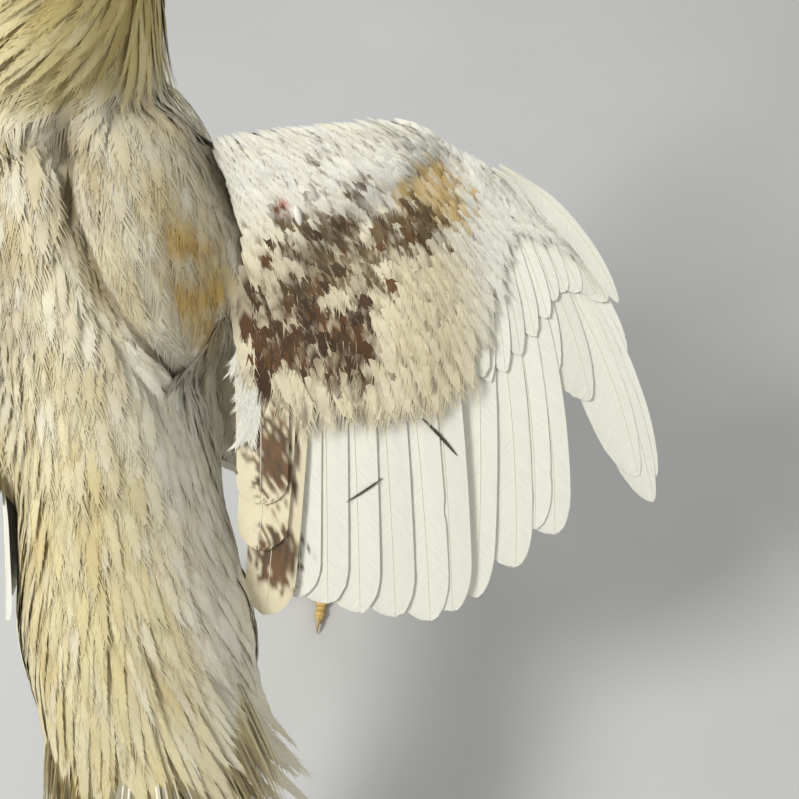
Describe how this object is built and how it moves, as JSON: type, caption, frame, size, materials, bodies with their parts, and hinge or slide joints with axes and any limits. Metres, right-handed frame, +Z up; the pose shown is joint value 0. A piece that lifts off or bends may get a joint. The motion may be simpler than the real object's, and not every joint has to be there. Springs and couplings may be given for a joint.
{
  "type": "aseel chicken",
  "caption": "Standing Aseel cock, life size, cream and white with brown patches, right wing spread and left wing folded.",
  "frame": {"origin": "middle of the bird's bounding box, on the floor that its soles rest on", "axes": "+Y where the beak points, +X the bird's right side with the spread wing, +Z up"},
  "size_m": [0.3998, 0.581, 0.6874],
  "materials": {
    "plumage": "soft, cream and white feathers",
    "face_skin": "red, fine wrinkled",
    "beak_horn": "pale horn, satin",
    "leg_scales": "pale yellow scutes",
    "eye_pearl": "pearl white, wet"
  },
  "bodies": {
    "root": {"torso": "plumage", "neck": "plumage", "tail": "plumage", "thigh_left": "plumage", "thigh_right": "plumage", "wing_left": "plumage", "wing_right_shoulder": "plumage", "wing_right_forearm": "plumage", "wing_right_hand": "plumage", "head": "face_skin", "comb": "face_skin", "beak_upper": "beak_horn", "beak_lower": "beak_horn", "spur_left": "beak_horn", "spur_right": "beak_horn", "claw_left_middle": "beak_horn", "claw_left_inner": "beak_horn", "claw_left_outer": "beak_horn", "claw_left_rear": "beak_horn", "claw_right_middle": "beak_horn", "claw_right_inner": "beak_horn", "claw_right_outer": "beak_horn", "claw_right_rear": "beak_horn", "shank_left": "leg_scales", "shank_right": "leg_scales", "foot_left": "leg_scales", "foot_right": "leg_scales", "eye_left": "eye_pearl", "eye_right": "eye_pearl"}
  },
  "joints": []
}
